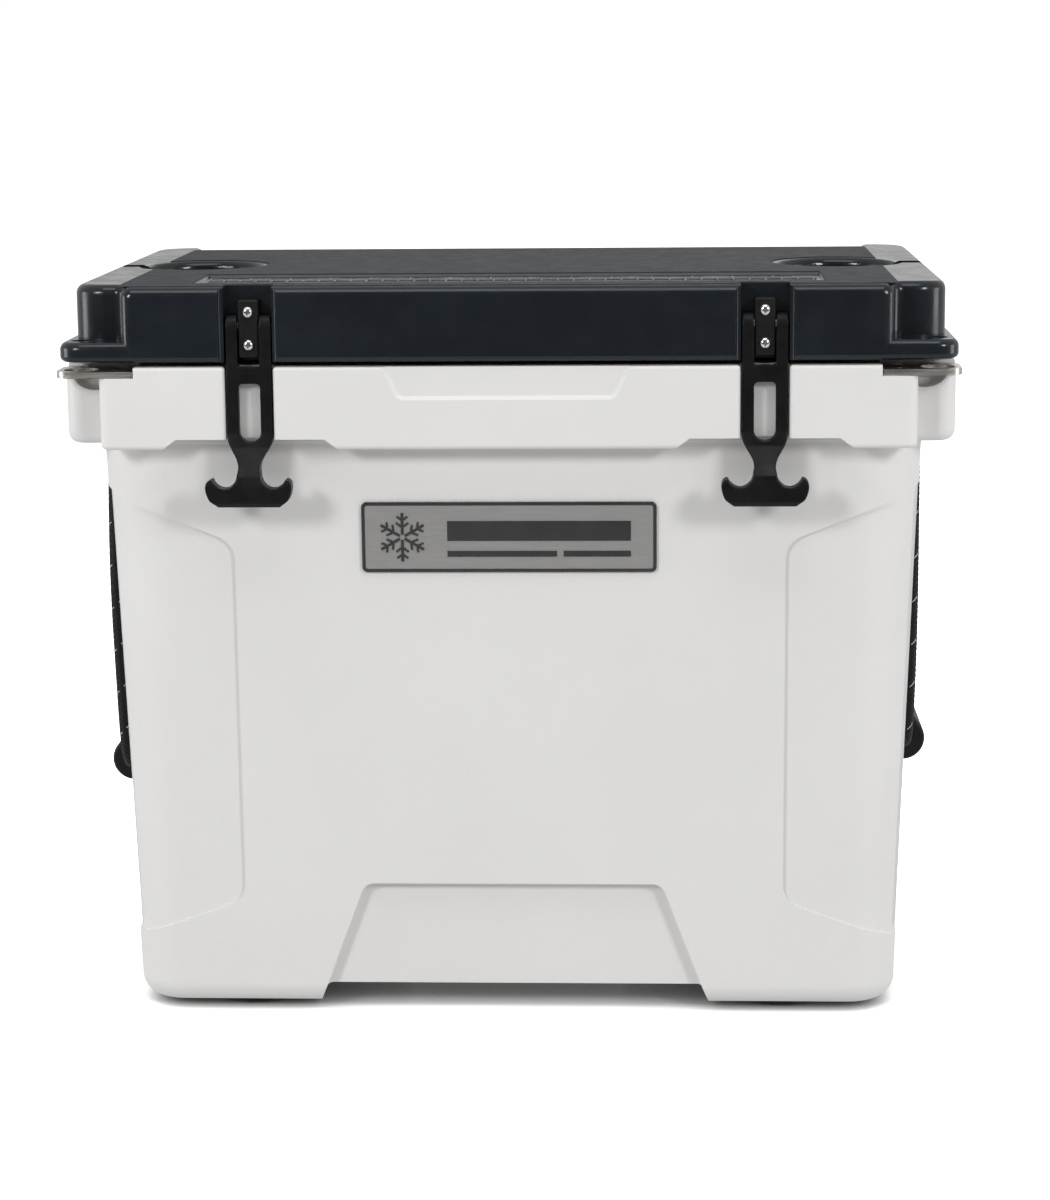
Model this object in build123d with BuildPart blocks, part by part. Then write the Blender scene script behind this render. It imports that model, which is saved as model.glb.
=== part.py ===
"""Rotomoulded cooler chest with a hinged lid, two rubber T-latches and two rope handles.

Millimetres. The origin is on the floor under the middle of the chest, +X runs along its
length, -Y is the front with the latches, and +Z is up.
"""
from build123d import *
import math
import os

os.makedirs("parts", exist_ok=True)

# ---------------------------------------------------------------- driving dimensions
# levels
body_bottom = 4.0
channel_top = 17.0
rim_bottom = 370.0
rim_top = 421.0
lid_bottom = 424.0
flange_top = 436.5
crown_top = 470.0
lid_top = 470.5

# tub walls
body_half_width = 245.0
body_half_depth = 148.0
body_corner_r = 30.0
body_taper = 2.07
bottom_edge_r = 14.0

# rim
rim_half_width = 251.0
rim_half_depth = 180.0
ear_half_width = 276.5
ear_half_depth = 158.0
ear_bottom = 371.0
rim_corner_r = 6.0
rim_edge_r = 2.0
rim_low_edge_r = 3.0
channel_edge_r = 3.0
crown_edge_r = 6.0
recess_edge_r = 3.0
flange_low_edge_r = 3.5
crown_start = 4.5
crown_rear_corner_r = 26.0
flange_setback = 0.3

# moulded panels in the tub walls
panel_depth = 2.5
panel_inner_x = 172.0
panel_side_y = 112.0
base_recess_depth = 7.0
bay_depth = 12.5
bay_half_width = 97.0
bay_bottom = 112.0

# storage space
cavity_half_width = 211.0
cavity_half_depth = 126.0
cavity_floor = 62.0
cavity_corner_r = 26.0
cavity_taper = 1.6
floor_half_width = cavity_half_width - 10.0
floor_half_depth = cavity_half_depth - 10.0
skin = 5.0
flange_seat = 411.0
liner_flange_half_width = 233.0
liner_flange_half_depth = 147.0

# lid
lid_half_width = 276.0
lid_half_depth = 180.0
crown_front_half_width = 236.0
crown_half_width = 270.0
crown_side_front_y = -157.0
crown_rear_y = 178.0
top_rear_y = 150.0
panel_half_width = 239.0
cup_x = 211.0
cup_y = 2.0
cup_r = 39.0
cup_depth = 14.0
ruler_half_width = 196.0
ruler_front_y = -152.0
ruler_rear_y = -80.0
ruler_depth = 2.2

# shallow trapezium in the rim's front
rim_panel_depth = 2.4

# latches
latch_x = 158.0
latch_width = 28.0
latch_channel_width = 30.0
latch_pin_y = -170.5
latch_pin_z = 446.0
latch_pin_r = 2.5
lid_recess_y = -163.0
rim_channel_y = -169.5
bracket_width = 12.7
bracket_front_y = -174.5
screw_levels = (434.2, 454.4)
running_gap = 0.06

# lock plates
plate_inner_x = 229.5
plate_outer_x = 278.0
plate_rear_y = -140.0
plate_bottom = 414.5
plate_thickness = 4.0
plate_screw_x = 240.0
plate_screw_ys = (-172.0, -150.0)
lock_hole_x = 263.5
lock_hole_y = -165.0
lock_hole_r = 10.75
padlock_hole_r = 6.0

# hinge
hinge_y = 183.0
hinge_z = 422.5
knuckle_r = 10.0
rod_r = 3.0
hinge_x = 140.0
knuckle_half = 20.0
hinge_half_length = 60.0

# feet
foot_x = 171.0
foot_y = 111.0
foot_r = 22.0
foot_seat_depth = 6.0

# rope handles
rope_r = 5.0
rope_x = {"left": 259.5, "right": 256.0}
rope_bulge = {"left": 1.5, "right": 0.2}
rope_y = 80.0
rope_pivot_z = ear_bottom - 6.0
grip_r = 14.5
grip_half_length = 62.0
grip_bore_r = 5.3
grip_level = {"left": 146.0, "right": 161.0}
grip_inward = 2.0

# drain, on the left wall
drain_z = 74.0
drain_pocket_r = 25.0
drain_pocket_depth = 12.0
drain_bore_r = 10.0

# nameplate
nameplate_z = 312.5
nameplate_width = 184.0
nameplate_height = 44.5
nameplate_border = 2.2

big = 700.0
sides = {"left": -1, "right": 1}


def wall_x(level):
    """Distance of the side wall from the middle at a level."""
    return body_half_width + (level - body_bottom) * math.tan(math.radians(body_taper))


def wall_y(level):
    """Distance of the front wall from the middle at a level."""
    return body_half_depth + (level - body_bottom) * math.tan(math.radians(body_taper))


def rope_holes():
    """Places of the four rope holes through the ears."""
    return [(side * rope_x[name], end * rope_y) for name, side in sides.items() for end in (-1, 1)]


def save(piece, name):
    """Labels a finished piece and writes it to its own file."""
    piece.label = name
    export_step(piece, f"parts/{name}.step")


# ---------------------------------------------------------------- tub
def tub_form(inset):
    """The tapered form of the tub walls, drawn in by inset."""
    with BuildPart() as form:
        with BuildSketch(Plane.XY.offset(body_bottom)):
            RectangleRounded(
                2 * (body_half_width - inset),
                2 * (body_half_depth - inset),
                body_corner_r - inset,
            )
        extrude(amount=rim_bottom + 10 - body_bottom, taper=-body_taper)
    return form.part


def wall_band(depth):
    """The outermost skin of the tub walls, depth thick, with a little spare outside."""
    with BuildPart() as band:
        add(tub_form(-2))
        add(tub_form(depth), mode=Mode.SUBTRACT)
    return band.part


def corner_panel_cut():
    """Sunk panels that wrap the four corners, narrower at the top and bottom of the front."""
    with BuildPart() as cut:
        add(wall_band(panel_depth))
        with BuildSketch(Plane.XZ) as outline:
            for side in (-1, 1):
                with BuildLine():
                    Polyline(
                        (side * panel_inner_x, 75.0),
                        (side * panel_inner_x, 308.5),
                        (side * 258.0, 342.0),
                        (side * 300.0, 342.0),
                        (side * 300.0, 45.0),
                        (side * 254.0, 45.0),
                        close=True,
                    )
                make_face()
            inner = outline.vertices().filter_by(lambda v: abs(v.X) < panel_inner_x + 1)
            fillet(inner, 15)
        extrude(amount=big, both=True, mode=Mode.INTERSECT)
        with BuildSketch(Plane.XY):
            Rectangle(big, 2 * panel_side_y)
        extrude(amount=big, mode=Mode.SUBTRACT)
    return cut.part


def base_recess_cut():
    """Trapezium recess at the foot of the front and rear walls."""
    with BuildPart() as cut:
        add(wall_band(base_recess_depth))
        with BuildSketch(Plane.XZ) as outline:
            with BuildLine():
                Polyline((-128, -2), (-95, 86), (95, 86), (128, -2), close=True)
            make_face()
            fillet(outline.vertices().sort_by(Axis.Y)[-2:], 9)
        extrude(amount=big, both=True, mode=Mode.INTERSECT)
    return cut.part


def handle_bay_cut():
    """Deep bays in the side walls where the rope handles hang."""
    with BuildPart() as cut:
        add(wall_band(bay_depth))
        with BuildSketch(Plane.YZ) as outline:
            with BuildLine():
                Polyline(
                    (-bay_half_width, rim_bottom + 1),
                    (-bay_half_width, bay_bottom + 18),
                    (18 - bay_half_width, bay_bottom),
                    (bay_half_width - 18, bay_bottom),
                    (bay_half_width, bay_bottom + 18),
                    (bay_half_width, rim_bottom + 1),
                    close=True,
                )
            make_face()
            fillet(outline.vertices().sort_by(Axis.Y)[:4], 8)
        extrude(amount=big, both=True, mode=Mode.INTERSECT)
        with BuildSketch(Plane.XY.offset(-10)):
            Rectangle(2 * 200, big)
        extrude(amount=big, mode=Mode.SUBTRACT)
    return cut.part


def liner_block(inset, bottom):
    """The tapered form of the storage space, drawn in by inset, standing on the bottom level."""
    with BuildPart() as block:
        with BuildSketch(Plane.XY.offset(bottom)):
            RectangleRounded(
                2 * (floor_half_width - inset), 2 * (floor_half_depth - inset), cavity_corner_r - inset
            )
        extrude(amount=rim_top - bottom + 1, taper=-cavity_taper)
        fillet(block.faces().sort_by(Axis.Z)[0].edges(), 12)
    return block.part


def foam_block():
    """Everything inside the outer skin, from above the foot channel to under the liner's flange."""
    with BuildPart() as block:
        with BuildSketch(Plane.XY.offset(channel_top + skin)):
            RectangleRounded(2 * (body_half_width - 18), 2 * (body_half_depth - 12), 20)
        extrude(amount=flange_seat - channel_top - skin, taper=-body_taper)
    return block.part


def drain_hole():
    """Cylinder along X through the left wall, the size of the drain fitting's barrel."""
    with BuildPart() as hole:
        with BuildSketch(Plane.YZ.offset(-big / 2)):
            with Locations((0, drain_z)):
                Circle(drain_bore_r + 3)
        extrude(amount=big / 2)
    return hole.part


with BuildPart() as body_liner:
    add(liner_block(-skin, cavity_floor - skin))
    with BuildSketch(Plane.XY.offset(rim_top)):
        Rectangle(big, big)
    extrude(amount=10, mode=Mode.SUBTRACT)
    with BuildSketch(Plane.XY.offset(flange_seat)):
        RectangleRounded(2 * liner_flange_half_width, 2 * liner_flange_half_depth, 40)
    extrude(amount=rim_top - flange_seat)
    add(liner_block(0, cavity_floor), mode=Mode.SUBTRACT)
    mouth = body_liner.faces().sort_by(Axis.Z)[-1].inner_wires()[0]
    fillet(mouth.edges(), 4)
    add(drain_hole(), mode=Mode.SUBTRACT)
save(body_liner.part, "body_liner")

with BuildPart() as body_foam:
    add(foam_block())
    add(liner_block(-skin, cavity_floor - skin), mode=Mode.SUBTRACT)
    add(drain_hole(), mode=Mode.SUBTRACT)
save(body_foam.part, "body_foam")


def at_front_corner(edge, middle, half):
    """True for an upright edge of a latch channel or recess at the front face."""
    here = edge.center()
    return abs(abs(here.X - middle) - half) < 0.1 and here.Y < -rim_half_depth + 0.1


def rim_part():
    """Rim band with front and rear faces, latch channels and stepped lower edge, plus the ears."""
    with BuildPart() as rim:
        with BuildSketch(Plane.XY.offset(rim_bottom)):
            RectangleRounded(2 * rim_half_width, 2 * rim_half_depth, rim_corner_r)
        extrude(amount=rim_top - rim_bottom)
        # the lower edge steps up round each latch
        with BuildSketch(Plane.XZ.offset(wall_y(rim_bottom) + 0.4)):
            for side in (-1, 1):
                with BuildLine():
                    Polyline(
                        (side * latch_x - 56, rim_bottom - 1),
                        (side * latch_x - 46, rim_bottom + 6.5),
                        (side * latch_x + 46, rim_bottom + 6.5),
                        (side * latch_x + 56, rim_bottom - 1),
                        close=True,
                    )
                make_face()
        extrude(amount=40, mode=Mode.SUBTRACT)
        # latch channels
        with BuildSketch(Plane.XZ.offset(-rim_channel_y)):
            with Locations((-latch_x, rim_bottom + 20), (latch_x, rim_bottom + 20)):
                Rectangle(latch_channel_width, 80)
        extrude(amount=40, mode=Mode.SUBTRACT)
        upright = rim.edges().filter_by(Axis.Z)
        for middle in (-latch_x, latch_x):
            fillet(
                upright.filter_by(lambda e: at_front_corner(e, middle, latch_channel_width / 2)),
                channel_edge_r,
            )
        fillet(rim.faces().sort_by(Axis.Z)[-1].outer_wire().edges(), rim_edge_r)
        fillet(rim.faces().filter_by(Plane.XY).sort_by(Axis.Z)[0].outer_wire().edges(), rim_low_edge_r)
        # shallow trapezium in the middle of the front
        with BuildSketch(Plane.XZ.offset(rim_half_depth - rim_panel_depth)) as panel:
            with BuildLine():
                Polyline(
                    (-77, rim_top + 6),
                    (-65.5, rim_top - 18),
                    (65.5, rim_top - 18),
                    (77, rim_top + 6),
                    close=True,
                )
            make_face()
            fillet(panel.vertices().group_by(Axis.Z)[0], 4)
        extrude(amount=2 * rim_panel_depth, taper=-45, mode=Mode.SUBTRACT)
    return rim.part


def ears_part():
    """Side flanges of the rim, where the rope handles hang."""
    with BuildPart() as ears:
        with BuildSketch(Plane.XY.offset(ear_bottom)):
            RectangleRounded(2 * ear_half_width, 2 * ear_half_depth, 12)
        extrude(amount=rim_top - ear_bottom)
        fillet(ears.faces().sort_by(Axis.Z)[0].edges(), 7)
        fillet(ears.faces().sort_by(Axis.Z)[-1].edges(), rim_edge_r)
    return ears.part


with BuildPart() as body_shell:
    add(tub_form(0))
    fillet(body_shell.faces().sort_by(Axis.Z)[0].edges(), bottom_edge_r)
    add(rim_part())
    add(ears_part())
    # room for the foam and the liner
    add(foam_block(), mode=Mode.SUBTRACT)
    with BuildSketch(Plane.XY.offset(flange_seat)):
        RectangleRounded(2 * liner_flange_half_width, 2 * liner_flange_half_depth, 40)
    extrude(amount=rim_top - flange_seat, mode=Mode.SUBTRACT)
    # moulded panels and bays
    add(corner_panel_cut(), mode=Mode.SUBTRACT)
    add(base_recess_cut(), mode=Mode.SUBTRACT)
    add(handle_bay_cut(), mode=Mode.SUBTRACT)
    # channel under the chest between the foot blocks
    with BuildSketch(Plane.XZ) as channel:
        with BuildLine():
            Polyline((-128, -2), (-121, channel_top), (121, channel_top), (128, -2), close=True)
        make_face()
        fillet(channel.vertices().sort_by(Axis.Y)[-2:], 5)
    extrude(amount=big, both=True, mode=Mode.SUBTRACT)
    # seats for the lock plates, and the dishes under their holes
    with BuildSketch(Plane.XY.offset(plate_bottom)):
        for side in (-1, 1):
            with Locations((side * (plate_inner_x + 39.5), plate_rear_y - 59.5)):
                Rectangle(80, 120)
    extrude(amount=20, mode=Mode.SUBTRACT)
    with Locations((-257, -157, 421), (257, -157, 421)):
        Sphere(16, mode=Mode.SUBTRACT)
    # hinge knuckles and the pockets for the lid's knuckles
    with BuildSketch(Plane.YZ.offset(-hinge_x - hinge_half_length)):
        with Locations((hinge_y, hinge_z)):
            Circle(knuckle_r)
    extrude(amount=2 * hinge_half_length)
    with BuildSketch(Plane.YZ.offset(hinge_x - hinge_half_length)):
        with Locations((hinge_y, hinge_z)):
            Circle(knuckle_r)
    extrude(amount=2 * hinge_half_length)
    for middle in (-hinge_x, hinge_x):
        with BuildSketch(Plane.YZ.offset(middle - knuckle_half)):
            with Locations((hinge_y, hinge_z)):
                Circle(knuckle_r + 0.8)
        extrude(amount=2 * knuckle_half, mode=Mode.SUBTRACT)
        with BuildSketch(Plane.YZ.offset(middle - hinge_half_length + 3)):
            with Locations((hinge_y, hinge_z)):
                Circle(rod_r)
        extrude(amount=2 * hinge_half_length, mode=Mode.SUBTRACT)
    # rope holes through the ears, with room for the knots on top
    with BuildSketch(Plane.XY.offset(ear_bottom - 5)):
        with Locations(*rope_holes()):
            Circle(rope_r + 0.5)
    extrude(amount=100, mode=Mode.SUBTRACT)
    with BuildSketch(Plane.XY.offset(rim_top - 24)):
        with Locations(*rope_holes()):
            Circle(11)
    extrude(amount=30, mode=Mode.SUBTRACT)
    # seats for the feet and their screws
    with BuildSketch(Plane.XY.offset(body_bottom - 1)):
        with GridLocations(2 * foot_x, 2 * foot_y, 2, 2):
            Circle(foot_r + 0.2)
    extrude(amount=foot_seat_depth + 1, mode=Mode.SUBTRACT)
    with BuildSketch(Plane.XY.offset(body_bottom)):
        with GridLocations(2 * foot_x, 2 * foot_y, 2, 2):
            Circle(2.0)
    extrude(amount=foot_seat_depth + 9, mode=Mode.SUBTRACT)
    # screw holes under the lock plates
    with BuildSketch(Plane.XY.offset(plate_bottom - 12)):
        for side in (-1, 1):
            with Locations(*[(side * plate_screw_x, y) for y in plate_screw_ys]):
                Circle(2.0)
    extrude(amount=12, mode=Mode.SUBTRACT)
    # drain: a sunk pocket outside and a bore through to the storage space
    with BuildSketch(Plane.YZ.offset(-wall_x(drain_z) + drain_pocket_depth)):
        with Locations((0, drain_z)):
            Circle(drain_pocket_r)
    extrude(amount=-40, mode=Mode.SUBTRACT)
    add(drain_hole(), mode=Mode.SUBTRACT)

save(body_shell.part, "body_shell")


# ---------------------------------------------------------------- drain
drain_outer = -wall_x(drain_z) + drain_pocket_depth
drain_inner = -floor_half_width - 0.9

with BuildPart() as drain_fitting:
    with BuildSketch(Plane.YZ.offset(drain_outer)):
        with Locations((0, drain_z)):
            Circle(drain_bore_r + 3)
            Circle(drain_bore_r, mode=Mode.SUBTRACT)
    extrude(amount=drain_inner - drain_outer)
    with BuildSketch(Plane.YZ.offset(drain_outer - 2.5)):
        with Locations((0, drain_z)):
            Circle(drain_bore_r + 8)
            Circle(drain_bore_r, mode=Mode.SUBTRACT)
    extrude(amount=2.5)
save(drain_fitting.part, "drain_fitting")

drain_seat = drain_outer - 2.5
with BuildPart() as drain_seal:
    with BuildSketch(Plane.YZ.offset(drain_seat - 2.3)):
        with Locations((0, drain_z)):
            Circle(drain_bore_r + 3)
            Circle(drain_bore_r - 1.5, mode=Mode.SUBTRACT)
    extrude(amount=2.0)
save(drain_seal.part, "drain_seal")

with BuildPart() as drain_plug:
    with BuildSketch(Plane.YZ.offset(drain_seat - 2.35)) as plug_head:
        with Locations((0, drain_z)):
            Circle(17)
        with Locations((0, drain_z)):
            with PolarLocations(17.6, 12):
                Circle(1.8, mode=Mode.SUBTRACT)
    extrude(amount=-6)
    with BuildSketch(Plane.YZ.offset(drain_seat - 3)):
        with Locations((0, drain_z)):
            Circle(drain_bore_r - 1.8)
    extrude(amount=21)
    with BuildSketch(Plane.YZ.offset(drain_seat - 8.3)):
        with Locations((0, drain_z)):
            Rectangle(22, 5)
    extrude(amount=-3)
save(drain_plug.part, "drain_plug")


# ---------------------------------------------------------------- lid
def lid_foam_core():
    """Foam slab inside the lid, clear of the latch recesses and the cup holders."""
    with BuildPart() as core:
        with BuildSketch(Plane.XY.offset(lid_bottom + 6)) as slab:
            with Locations((0, -5)):
                Rectangle(2 * 205, 2 * 135)
            fillet(slab.vertices(), 14)
        extrude(amount=22)
        with BuildSketch(Plane.XY.offset(lid_bottom + 16)):
            with Locations((-cup_x, cup_y), (cup_x, cup_y)):
                Circle(cup_r + 6)
        extrude(amount=40, mode=Mode.SUBTRACT)
    return core.part


lid_foam = lid_foam_core()


def cup_cut(middle_x):
    """Round cup holder with a rounded floor edge and a rolled rim."""
    floor = crown_top - cup_depth
    with BuildPart() as cut:
        with BuildSketch(Plane.XZ.offset(-cup_y)):
            with BuildLine():
                Line((middle_x, floor), (middle_x + cup_r - 6, floor))
                RadiusArc((middle_x + cup_r - 6, floor), (middle_x + cup_r, floor + 6), -6)
                Line((middle_x + cup_r, floor + 6), (middle_x + cup_r, crown_top - 5))
                RadiusArc((middle_x + cup_r, crown_top - 5), (middle_x + cup_r + 5, crown_top), 5)
                Line((middle_x + cup_r + 5, crown_top), (middle_x + cup_r + 5, lid_top + 3))
                Line((middle_x + cup_r + 5, lid_top + 3), (middle_x, lid_top + 3))
                Line((middle_x, lid_top + 3), (middle_x, floor))
            make_face()
        revolve(axis=Axis((middle_x, cup_y, 0), (0, 0, 1)))
    return cut.part


def lid_crown():
    """Upper block of the lid: set back at the front corners and at the rear."""
    with BuildPart() as crown:
        with BuildSketch(Plane.XY.offset(lid_bottom + crown_start)) as plan:
            Rectangle(2 * crown_half_width, 2 * crown_rear_y)
            Rectangle(2 * crown_front_half_width, 2 * lid_half_depth)
            with Locations((0, -lid_half_depth - 0.5)):
                for side in (-1, 1):
                    with Locations((side * (crown_front_half_width + 30), 0)):
                        Rectangle(
                            60, 2 * (lid_half_depth + 0.5 + crown_side_front_y), mode=Mode.SUBTRACT
                        )
            with Locations((0, top_rear_y + 30)):
                Rectangle(2 * crown_front_half_width, 60, mode=Mode.SUBTRACT)
            outer_corners = plan.vertices().filter_by(
                lambda v: abs(v.X) > crown_half_width - 1 and v.Y < 0
            )
            fillet(outer_corners, 20)
            rear_corners = plan.vertices().filter_by(
                lambda v: abs(v.X) > crown_half_width - 1 and v.Y > crown_rear_y - 1
            )
            fillet(rear_corners, crown_rear_corner_r)
            small_corners = plan.vertices().filter_by(lambda v: abs(v.X) < crown_front_half_width + 1)
            fillet(small_corners, 7)
        extrude(amount=crown_top - lid_bottom - crown_start)
        fillet(crown.faces().sort_by(Axis.Z)[-1].outer_wire().edges(), crown_edge_r)
    return crown.part


def lid_flange():
    """Plate round the foot of the lid, with rounded edges."""
    with BuildPart() as flange:
        with BuildSketch(Plane.XY.offset(lid_bottom)):
            RectangleRounded(2 * lid_half_width, 2 * (lid_half_depth - flange_setback), 14)
        extrude(amount=flange_top - lid_bottom)
        fillet(flange.faces().sort_by(Axis.Z)[-1].edges(), 5)
        fillet(flange.faces().sort_by(Axis.Z)[0].edges(), flange_low_edge_r)
    return flange.part


def latch_recess_cut(middle):
    """Upright slot for a latch, with its mouth rolled outwards at the front face."""
    half = latch_channel_width / 2
    front = -lid_half_depth
    with BuildPart() as cut:
        with BuildSketch(Plane.XY.offset(lid_bottom - 5)):
            with BuildLine():
                for side in (-1, 1):
                    wall_x_here = middle + side * half
                    Line((middle, lid_recess_y), (wall_x_here, lid_recess_y))
                    Line((wall_x_here, lid_recess_y), (wall_x_here, front + recess_edge_r))
                    RadiusArc(
                        (wall_x_here, front + recess_edge_r),
                        (wall_x_here + side * recess_edge_r, front),
                        side * recess_edge_r,
                    )
                    Line(
                        (wall_x_here + side * recess_edge_r, front),
                        (wall_x_here + side * recess_edge_r, front - 5),
                    )
                    Line((wall_x_here + side * recess_edge_r, front - 5), (middle, front - 5))
            make_face()
        extrude(amount=100)
    return cut.part


with BuildPart() as lid_shell:
    add(lid_crown())
    add(lid_flange())
    # raised top panel
    with BuildSketch(Plane.XY.offset(crown_top)):
        with Locations((0, (top_rear_y - 6 - 173) / 2)):
            RectangleRounded(2 * panel_half_width, top_rear_y - 6 + 173, 5)
    extrude(amount=lid_top - crown_top, taper=30)
    # inner liner block that drops into the storage space
    with BuildSketch(Plane.XY.offset(lid_bottom)):
        RectangleRounded(2 * (cavity_half_width - 8), 2 * (cavity_half_depth - 8), 20)
    extrude(amount=-13, taper=8)
    # groove for the gasket
    with BuildSketch(Plane.XY.offset(lid_bottom)):
        RectangleRounded(2 * (cavity_half_width + 16), 2 * (cavity_half_depth + 14), 36)
        RectangleRounded(
            2 * (cavity_half_width + 6), 2 * (cavity_half_depth + 4), 26, mode=Mode.SUBTRACT
        )
    extrude(amount=2, mode=Mode.SUBTRACT)
    # cup holders, and tie-down grooves from them to the ends
    add(cup_cut(-cup_x), mode=Mode.SUBTRACT)
    add(cup_cut(cup_x), mode=Mode.SUBTRACT)
    with BuildSketch(Plane.XY.offset(crown_top - 3)):
        for side in (-1, 1):
            with BuildLine():
                Polyline(
                    (side * 225, cup_y - 36),
                    (side * 252, cup_y - 9),
                    (side * 280, cup_y - 8),
                    (side * 280, cup_y + 8),
                    (side * 252, cup_y + 9),
                    (side * 225, cup_y + 36),
                    close=True,
                )
            make_face()
    extrude(amount=20, mode=Mode.SUBTRACT)
    # ruler recess, with sloping walls
    with BuildSketch(Plane.XY.offset(lid_top - ruler_depth)):
        with Locations((0, (ruler_front_y + ruler_rear_y) / 2)):
            Rectangle(2 * ruler_half_width - 4, ruler_rear_y - ruler_front_y - 4)
    extrude(amount=10, taper=-40, mode=Mode.SUBTRACT)
    # latch recesses, open at the top and the bottom
    add(latch_recess_cut(-latch_x), mode=Mode.SUBTRACT)
    add(latch_recess_cut(latch_x), mode=Mode.SUBTRACT)
    # padlock holes through the front corners of the flange
    with BuildSketch(Plane.XY.offset(lid_bottom - 1)):
        with Locations((-lock_hole_x, lock_hole_y), (lock_hole_x, lock_hole_y)):
            Circle(padlock_hole_r)
    extrude(amount=20, mode=Mode.SUBTRACT)
    # hinge knuckles, and the pockets for the tub's knuckles
    for middle in (-hinge_x, hinge_x):
        for offset in (-knuckle_half - 20, knuckle_half + 20):
            with BuildSketch(Plane.YZ.offset(middle + offset - 20.5)):
                with Locations((hinge_y, hinge_z)):
                    Circle(knuckle_r + 0.8)
            extrude(amount=41, mode=Mode.SUBTRACT)
        with BuildSketch(Plane.YZ.offset(middle - knuckle_half + 0.5)):
            with Locations((hinge_y, hinge_z)):
                Circle(knuckle_r)
        extrude(amount=2 * knuckle_half - 1)
        with BuildSketch(Plane.YZ.offset(middle - knuckle_half - 1)):
            with Locations((hinge_y, hinge_z)):
                Circle(rod_r + running_gap)
        extrude(amount=2 * knuckle_half + 2, mode=Mode.SUBTRACT)
    # screw holes behind the latch brackets
    with BuildSketch(Plane.XZ.offset(-lid_recess_y - 12)):
        for middle in (-latch_x, latch_x):
            with Locations(*[(middle, level) for level in screw_levels]):
                Circle(2.0)
    extrude(amount=14, mode=Mode.SUBTRACT)
    add(lid_foam, mode=Mode.SUBTRACT)

save(lid_shell.part, "lid_shell")
save(lid_foam, "lid_foam")

with BuildPart() as lid_gasket:
    with BuildSketch(Plane.XY.offset(rim_top + 0.3)):
        RectangleRounded(2 * (cavity_half_width + 16), 2 * (cavity_half_depth + 14), 36)
        RectangleRounded(
            2 * (cavity_half_width + 6), 2 * (cavity_half_depth + 4), 26, mode=Mode.SUBTRACT
        )
    extrude(amount=lid_bottom + 2 - rim_top - 0.3)
save(lid_gasket.part, "lid_gasket")


# ---------------------------------------------------------------- hinge rods
for side_name, side in sides.items():
    with BuildPart() as hinge_rod:
        with BuildSketch(Plane.YZ.offset(side * hinge_x - hinge_half_length + 3)):
            with Locations((hinge_y, hinge_z)):
                Circle(rod_r)
        extrude(amount=2 * hinge_half_length - 3)
        chamfer(hinge_rod.edges(), 0.5)
    save(hinge_rod.part, f"hinge_rod_{side_name}")


# ---------------------------------------------------------------- screws
def pan_screw(head_r, head_height, shank_r, shank_length):
    """Pan-head cross-recess screw at the origin, with its head above the XY plane."""
    with BuildPart() as screw:
        with BuildSketch(Plane.XZ):
            with BuildLine():
                Line((0, 0), (head_r, 0))
                Line((head_r, 0), (head_r, head_height * 0.35))
                ThreePointArc(
                    (head_r, head_height * 0.35),
                    (head_r * 0.72, head_height * 0.86),
                    (0, head_height),
                )
                Line((0, head_height), (0, 0))
            make_face()
        revolve(axis=Axis.Z)
        with BuildSketch(Plane.XY):
            Circle(shank_r)
        extrude(amount=-shank_length)
        with BuildSketch(Plane.XY.offset(head_height + 0.5)):
            Rectangle(head_r * 1.05, head_r * 0.26)
            Rectangle(head_r * 0.26, head_r * 1.05)
        extrude(amount=-1.6, taper=8, mode=Mode.SUBTRACT)
    return screw.part


def flat_screw(head_r, shank_r, shank_length):
    """Countersunk cross-recess screw whose head is flush with the XY plane."""
    with BuildPart() as screw:
        with BuildSketch(Plane.XY):
            Circle(head_r)
        extrude(amount=-(head_r - shank_r), taper=44.9)
        with BuildSketch(Plane.XY):
            Circle(shank_r)
        extrude(amount=-shank_length)
        with BuildSketch(Plane.XY.offset(0.1)):
            Rectangle(head_r * 1.1, head_r * 0.28)
            Rectangle(head_r * 0.28, head_r * 1.1)
        extrude(amount=-1.2, taper=8, mode=Mode.SUBTRACT)
    return screw.part


bracket_screw = pan_screw(3.5, 2.4, 2.0, 22.0)
plate_screw = flat_screw(4.0, 2.0, 15.0)
foot_screw = pan_screw(4.5, 2.4, 2.0, 14.0)


# ---------------------------------------------------------------- latches
def latch_side_form(middle):
    """Side view of a latch: ears round the pin, a flat strap, and a handle that stands off."""
    with BuildPart() as form:
        with BuildSketch(Plane.YZ.offset(middle - 40)):
            with BuildLine():
                Polyline(
                    (-177.0, latch_pin_z),
                    (-177.0, 380.0),
                    (-179.5, 372.0),
                    (-187.0, 361.0),
                    (-192.0, 355.0),
                    (-193.0, 349.0),
                    (-193.0, 339.0),
                    (-190.5, 336.0),
                    (-184.0, 336.0),
                    (-181.5, 339.0),
                    (-181.5, 349.0),
                    (-176.5, 358.0),
                    (-170.2, 366.0),
                    (-170.2, 375.5),
                    (-171.0, 378.0),
                    (-171.0, latch_pin_z),
                    close=True,
                )
            make_face()
            with Locations((latch_pin_y, latch_pin_z)):
                Circle(6.5)
        extrude(amount=80)
    return form.part


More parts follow.
